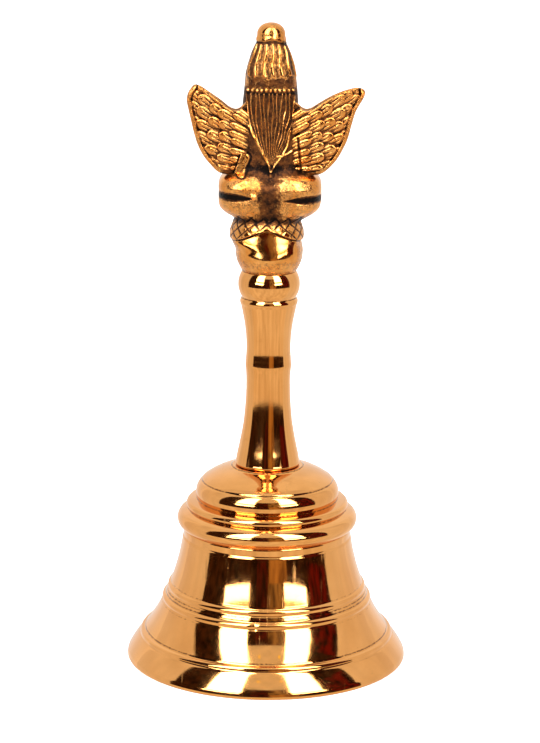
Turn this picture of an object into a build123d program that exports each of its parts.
from build123d import *
import os

# A cast and turned brass hand bell. It rings by a clapper that hangs on a wire link inside the cup, and it is
# held by a turned shaft with a kneeling winged figure on top. The figure looks towards +Y, so its back and the
# backs of its wings face -Y. The origin is the centre of the mouth, in the plane that the lip stands on.

# ---- driving dimensions, in millimetres ----
overall_height = 178.0
mouth_radius = 39.0  # widest point of the lip
lip_inner_radius = 36.0
cup_height = 37.7  # where the crown sits on the cup
neck_radius = 23.2  # outside of the cup just under the crown
spigot_radius = 20.8  # bore at the top of the cup, which takes the crown's spigot
spigot_depth = 3.6
rib_radii_and_heights = ((27.15, 20.9), (28.75, 17.6), (34.65, 7.4))
rib_section_radius = 1.0
rib_rise = 0.4  # how far a rib stands out of the wall

flange_radius = 25.0
crown_top = 55.4  # flat seat for the shaft
crown_ceiling = 51.4  # flat underside of the crown, where the washer bears
seat_radius = 9.7

shaft_foot_radius = 8.9
shaft_waist_radius = 6.07
shaft_top = 110.4
bead_radius = 8.5

stud_radius = 4.0  # handle stud, M8
stud_bottom = 40.6
stud_top = 77.0
dowel_radius = 3.0  # figure stud, M6
dowel_bottom = 97.0
dowel_top = 121.0
thread_clearance = 0.05

washer_radius = 8.2
washer_thickness = 1.0
nut_across_flats = 13.0
nut_height = 4.0

tongue_thickness = 3.0
tongue_hole_radius = 1.7
tongue_hole_z = 43.5
wire_radius = 0.9  # link and clapper eye are the same wire
link_width = 6.8  # across the centres of its long sides
link_height = 7.0
link_corner_radius = 2.2
contact_gap = 0.1

eye_radius = 2.7  # centre line of the clapper's eye
rod_radius = 1.6
ball_radius = 7.5
ball_z = 10.2

wing_plane_y = -2.6  # middle of the wings' thickness
wing_thickness = 2.8
tenon_tip_x = 5.8  # how near the axis each wing's tenon reaches
tenon_length = 3.4
tenon_height = 7.9
tenon_z = 144.5

os.makedirs("parts", exist_ok=True)


def write(part, node):
    part.label = node
    export_step(part, f"parts/{node}.step")


# ---- bell cup: flared shell, open at both ends, with three turned ribs and a flat lip ----
with BuildPart() as bell_cup:
    with BuildSketch(Plane.XZ) as cup_section:
        with BuildLine():
            Line((lip_inner_radius, 0), (38.3, 0))
            TangentArc((mouth_radius, 0.9), (38.3, 0), tangent=(0, -1))
            Line((mouth_radius, 0.9), (38.75, 1.9))
            ThreePointArc((38.75, 1.9), (37.0, 4.75), (34.85, 7.4))
            ThreePointArc((34.85, 7.4), (31.3, 12.3), (28.75, 17.6))
            Line((28.75, 17.6), (27.15, 20.9))
            ThreePointArc((27.15, 20.9), (24.85, 28.0), (23.5, 35.0))
            Line((23.5, 35.0), (neck_radius, 35.3))
            Line((neck_radius, 35.3), (neck_radius, cup_height - 0.3))
            Line((neck_radius, cup_height - 0.3), (neck_radius - 0.3, cup_height))
            Line((neck_radius - 0.3, cup_height), (spigot_radius, cup_height))
            Line((spigot_radius, cup_height), (spigot_radius, cup_height - spigot_depth))
            ThreePointArc((spigot_radius, cup_height - spigot_depth), (22.6, 25.5), (25.9, 17.0))
            ThreePointArc((25.9, 17.0), (29.9, 9.4), (35.3, 1.6))
            Line((35.3, 1.6), (lip_inner_radius, 0))
        make_face()
    revolve(axis=Axis.Z)
    with BuildSketch(Plane.XZ) as rib_sections:
        for rib_r, rib_z in rib_radii_and_heights:
            with Locations((rib_r + rib_rise - rib_section_radius, rib_z)):
                Circle(rib_section_radius)
    revolve(axis=Axis.Z)
write(bell_cup.part, "bell_cup")

# ---- crown: hollow stepped dome whose spigot drops into the cup ----
with BuildPart() as crown:
    spigot_bottom = cup_height - spigot_depth + 0.2
    with BuildSketch(Plane.XZ) as crown_section:
        with BuildLine():
            Polyline(
                (18.9, spigot_bottom),
                (spigot_radius - thread_clearance, spigot_bottom),
                (spigot_radius - thread_clearance, cup_height),
                (23.3, cup_height),
            )
            TangentArc((flange_radius, 39.4), (23.3, cup_height), tangent=(0, -1))
            Line((flange_radius, 39.4), (flange_radius, 41.1))
            TangentArc((flange_radius, 41.1), (24.2, 42.4), tangent=(0, 1))
            Line((24.2, 42.4), (22.3, 43.3))
            ThreePointArc((22.3, 43.3), (22.45, 44.6), (21.4, 45.5))
            Line((21.4, 45.5), (19.75, 45.9))
            ThreePointArc((19.75, 45.9), (19.75, 48.6), (18.6, 50.7))
            ThreePointArc((18.6, 50.7), (18.25, 51.1), (17.8, 51.35))
            ThreePointArc((17.8, 51.35), (14.2, 53.6), (10.3, 55.0))
            Line((10.3, 55.0), (seat_radius, crown_top))
            Line((seat_radius, crown_top), (stud_radius + 0.1, crown_top))
            Line((stud_radius + 0.1, crown_top), (stud_radius + 0.1, crown_ceiling))
            Line((stud_radius + 0.1, crown_ceiling), (9.5, crown_ceiling))
            ThreePointArc((9.5, crown_ceiling), (14.6, 49.6), (17.2, 45.0))
            Line((17.2, 45.0), (18.9, 41.5))
            Line((18.9, 41.5), (18.9, spigot_bottom))
        make_face()
    revolve(axis=Axis.Z)
write(crown.part, "crown")

# ---- handle shaft: waisted grip with a flared foot, a ring and a bead, tapped at both ends ----
with BuildPart() as handle_shaft:
    with BuildSketch(Plane.XZ) as shaft_section:
        with BuildLine():
            Line((0, crown_top), (8.5, crown_top))
            ThreePointArc((8.5, crown_top), (shaft_foot_radius, 55.9), (8.85, 56.6))
            Spline((8.85, 56.6), (7.5, 63.6), (shaft_waist_radius, 78.0), tangents=((-0.25, 1), (0, 1)))
            Line((shaft_waist_radius, 78.0), (6.1, 82.2))
            ThreePointArc((6.1, 82.2), (6.33, 83.2), (6.15, 84.2))
            Spline((6.15, 84.2), (6.35, 92.5), (7.65, 101.0), tangents=((0, 1), (0.28, 1)))
            ThreePointArc((7.65, 101.0), (7.97, 102.0), (7.6, 102.8))
            Line((7.6, 102.8), (7.6, 103.2))
            ThreePointArc((7.6, 103.2), (bead_radius, 106.8), (7.35, shaft_top))
            Line((7.35, shaft_top), (0, shaft_top))
            Line((0, shaft_top), (0, crown_top))
        make_face()
    revolve(axis=Axis.Z)
    with Locations(Plane.XY.offset(crown_top)):
        Cylinder(
            stud_radius + thread_clearance,
            stud_top - crown_top + 1.0,
            align=(Align.CENTER, Align.CENTER, Align.MIN),
            mode=Mode.SUBTRACT,
        )
    with Locations(Plane.XY.offset(shaft_top)):
        Hole(dowel_radius + thread_clearance, depth=shaft_top - dowel_bottom + 1.0)
write(handle_shaft.part, "handle_shaft")

# ---- handle stud: clamps shaft and crown together, and ends in a drilled tongue ----
with BuildPart() as handle_stud:
    with Locations((0, 0, stud_bottom)):
        Cylinder(stud_radius, stud_top - stud_bottom, align=(Align.CENTER, Align.CENTER, Align.MIN))
    chamfer(handle_stud.edges().sort_by(Axis.Z)[-1], 0.6)
    flat_side = stud_radius - tongue_thickness / 2
    tongue_height = crown_ceiling - washer_thickness - nut_height - stud_bottom
    for side in (-1, 1):
        with Locations((side * (tongue_thickness / 2 + flat_side), 0, stud_bottom)):
            Box(
                2 * flat_side,
                2 * stud_radius,
                tongue_height - 0.3,
                align=(Align.CENTER, Align.CENTER, Align.MIN),
                mode=Mode.SUBTRACT,
            )
    chamfer(handle_stud.edges().group_by(Axis.Z)[0].filter_by(GeomType.CIRCLE), 1.2)
    with Locations(Plane.YZ):
        with Locations((0, tongue_hole_z)):
            Hole(tongue_hole_radius)
write(handle_stud.part, "handle_stud")

# ---- washer and hexagon nut under the crown ----
washer_bottom = crown_ceiling - washer_thickness
with BuildPart() as crown_washer:
    with BuildSketch(Plane.XY.offset(washer_bottom)):
        Circle(washer_radius)
        Circle(stud_radius + 0.2, mode=Mode.SUBTRACT)
    extrude(amount=washer_thickness)
write(crown_washer.part, "crown_washer")

with BuildPart() as crown_nut:
    with BuildSketch(Plane.XY.offset(washer_bottom - nut_height)):
        RegularPolygon(nut_across_flats / 2, 6, major_radius=False)
        Circle(stud_radius + thread_clearance, mode=Mode.SUBTRACT)
    extrude(amount=nut_height)
    with BuildSketch(Plane.XZ):  # the turned 30 degree chamfer on the corners of the lower face
        with BuildLine():
            Polyline((6.3, 45.0), (9.0, 45.0), (9.0, washer_bottom - nut_height + 1.6), close=True)
        make_face()
    revolve(axis=Axis.Z, mode=Mode.SUBTRACT)
write(crown_nut.part, "crown_nut")

# ---- wire link through the tongue: a closed rounded rectangle in the XZ plane ----
link_top_z = tongue_hole_z - (tongue_hole_radius - wire_radius) + contact_gap
link_bottom_z = link_top_z - link_height
with BuildPart() as clapper_link:
    with BuildSketch(Plane.XZ) as link_plan:
        with Locations((0, (link_top_z + link_bottom_z) / 2)):
            RectangleRounded(link_width, link_height, link_corner_radius)
    with BuildSketch(Plane.YZ) as link_wire:
        with Locations((0, link_top_z)):
            Circle(wire_radius)
    sweep(sections=link_wire.sketch, path=link_plan.sketch.faces()[0].outer_wire())
write(clapper_link.part, "clapper_link")

# ---- clapper rod: eye at the top, round rod, riveted end under the ball ----
eye_top_z = link_bottom_z + 2 * wire_radius + contact_gap
eye_centre_z = eye_top_z - eye_radius
rod_top_z = eye_centre_z - eye_radius
tail_z = ball_z - ball_radius
rivet_z = tail_z - 1.3
rivet_radius = 2.3
with BuildPart() as clapper_rod:
    with BuildSketch(Plane.XZ) as rod_section:
        with BuildLine():
            Polyline(
                (0, rod_top_z),
                (1.2, rod_top_z),
                (rod_radius, rod_top_z - 2.0),
                (rod_radius, tail_z + 0.3),
                (rivet_radius, tail_z + 0.3),
                (rivet_radius, rivet_z + 0.5),
                (rivet_radius - 0.8, rivet_z),
                (0, rivet_z),
                close=True,
            )
        make_face()
    revolve(axis=Axis.Z)
    with Locations(Location((0, 0, eye_centre_z), (0, 90, 0))):
        Torus(eye_radius, wire_radius)
write(clapper_rod.part, "clapper_rod")

# ---- clapper ball: turned ball with a short neck, drilled for the rod ----
ball_flat_z = tail_z + 0.35
neck_top_z = ball_z + 8.8
with BuildPart() as clapper_ball:
    with Locations((0, 0, ball_z)):
        Sphere(ball_radius)
    with Locations((0, 0, neck_top_z)):
        Cone(2.9, 2.4, 3.0, align=(Align.CENTER, Align.CENTER, Align.MAX))
    with Locations((0, 0, ball_flat_z)):
        Box(20, 20, 5, align=(Align.CENTER, Align.CENTER, Align.MAX), mode=Mode.SUBTRACT)
    with Locations((0, 0, ball_z)):
        Cylinder(rod_radius + 0.02, 30, mode=Mode.SUBTRACT)
write(clapper_ball.part, "clapper_ball")

# ---- figure: bulb, folded legs, torso, arms, head and capped topknot in one casting ----
legs_bottom = 126.2
legs_top = 137.0
cap_radius = 4.5
with BuildPart() as legs:
    with Locations((0, 1.0, (legs_bottom + legs_top) / 2)):
        Box(28.0, 21.0, legs_top - legs_bottom)
    fillet(legs.edges().filter_by(Axis.Z), 6.5)
    fillet(legs.faces().sort_by(Axis.Z)[0].edges() + legs.faces().sort_by(Axis.Z)[-1].edges(), 3.6)
    for side in (-1, 1):  # the slit between each sole and the pad under it
        with Locations((side * 8.8, -9.5, 130.4)):
            Box(8.0, 3.0, 1.6, mode=Mode.SUBTRACT)

torso_levels = (  # height, half width, half depth
    (legs_top - 3.0, 8.4, 7.2),
    (148.0, 7.6, 6.0),
    (155.0, 7.9, 5.4),
    (161.5, 7.0, 5.9),
    (168.0, 5.7, 5.2),
    (172.0, 4.5, 4.5),
)
with BuildPart() as torso:
    for level, half_width, half_depth in torso_levels:
        with BuildSketch(Plane.XY.offset(level)):
            Ellipse(half_width, half_depth)
    loft()

with BuildPart() as arms:  # both forearms and the joined hands in front of the chest
    with Locations((0, 5.8, 147.5)):
        Box(13.0, 8.0, 7.0)
    fillet(arms.edges(), 2.6)

with BuildPart() as figure:
    with BuildSketch(Plane.XZ) as bulb_section:
        with BuildLine():
            Line((0, shaft_top), (7.35, shaft_top))
            ThreePointArc((7.35, shaft_top), (8.75, 112.9), (9.3, 116.6))
            ThreePointArc((9.3, 116.6), (10.1, 120.2), (8.7, 124.4))
            Line((8.7, 124.4), (8.7, legs_bottom + 2))
            Line((8.7, legs_bottom + 2), (0, legs_bottom + 2))
            Line((0, legs_bottom + 2), (0, shaft_top))
        make_face()
    revolve(axis=Axis.Z)
    add(legs.part)
    add(torso.part)
    with Locations((0, 0, overall_height - cap_radius)):
        Sphere(cap_radius)
    add(arms.part)
    with Locations(Plane.XY.offset(shaft_top)):
        Cylinder(
            dowel_radius + thread_clearance,
            dowel_top - shaft_top + 1.0,
            align=(Align.CENTER, Align.CENTER, Align.MIN),
            mode=Mode.SUBTRACT,
        )
    for side in (-1, 1):  # slots that take the wings' tenons
        with Locations((side * (tenon_tip_x + 2.0), wing_plane_y, tenon_z)):
            Box(4.4, 1.6, tenon_height + 0.1, mode=Mode.SUBTRACT)
write(figure.part, "figure")

# ---- figure stud between shaft and figure ----
with BuildPart() as figure_stud:
    with Locations((0, 0, dowel_bottom)):
        Cylinder(dowel_radius, dowel_top - dowel_bottom, align=(Align.CENTER, Align.CENTER, Align.MIN))
    chamfer(figure_stud.edges(), 0.5)
write(figure_stud.part, "figure_stud")

# ---- wings: flat castings with a tenon at the root ----
with BuildPart() as left_wing:
    with BuildSketch(Plane.XZ.offset(-wing_plane_y - wing_thickness / 2)) as wing_outline:
        with BuildLine():
            Spline((-8.6, 152.4), (-13.0, 156.2), (-20.6, 161.4), tangents=((-0.4, 0.2), (-1, 0.5)))
            ThreePointArc((-20.6, 161.4), (-22.4, 160.0), (-22.9, 157.6))
            Spline((-22.9, 157.6), (-20.0, 144.4), (-13.6, 137.6), tangents=((0.1, -1), (0.7, -0.5)))
            Polyline((-13.6, 137.6), (-5.6, 137.6), (-5.6, 151.6), (-8.6, 152.4))
        make_face()
    extrude(amount=wing_thickness)
    add(torso.part, mode=Mode.SUBTRACT)
    with Locations((-tenon_tip_x - tenon_length / 2, wing_plane_y, tenon_z)):
        Box(tenon_length, 1.5, tenon_height)
write(left_wing.part, "left_wing")

with BuildPart() as right_wing:
    mirror(left_wing.part, about=Plane.YZ)
write(right_wing.part, "right_wing")
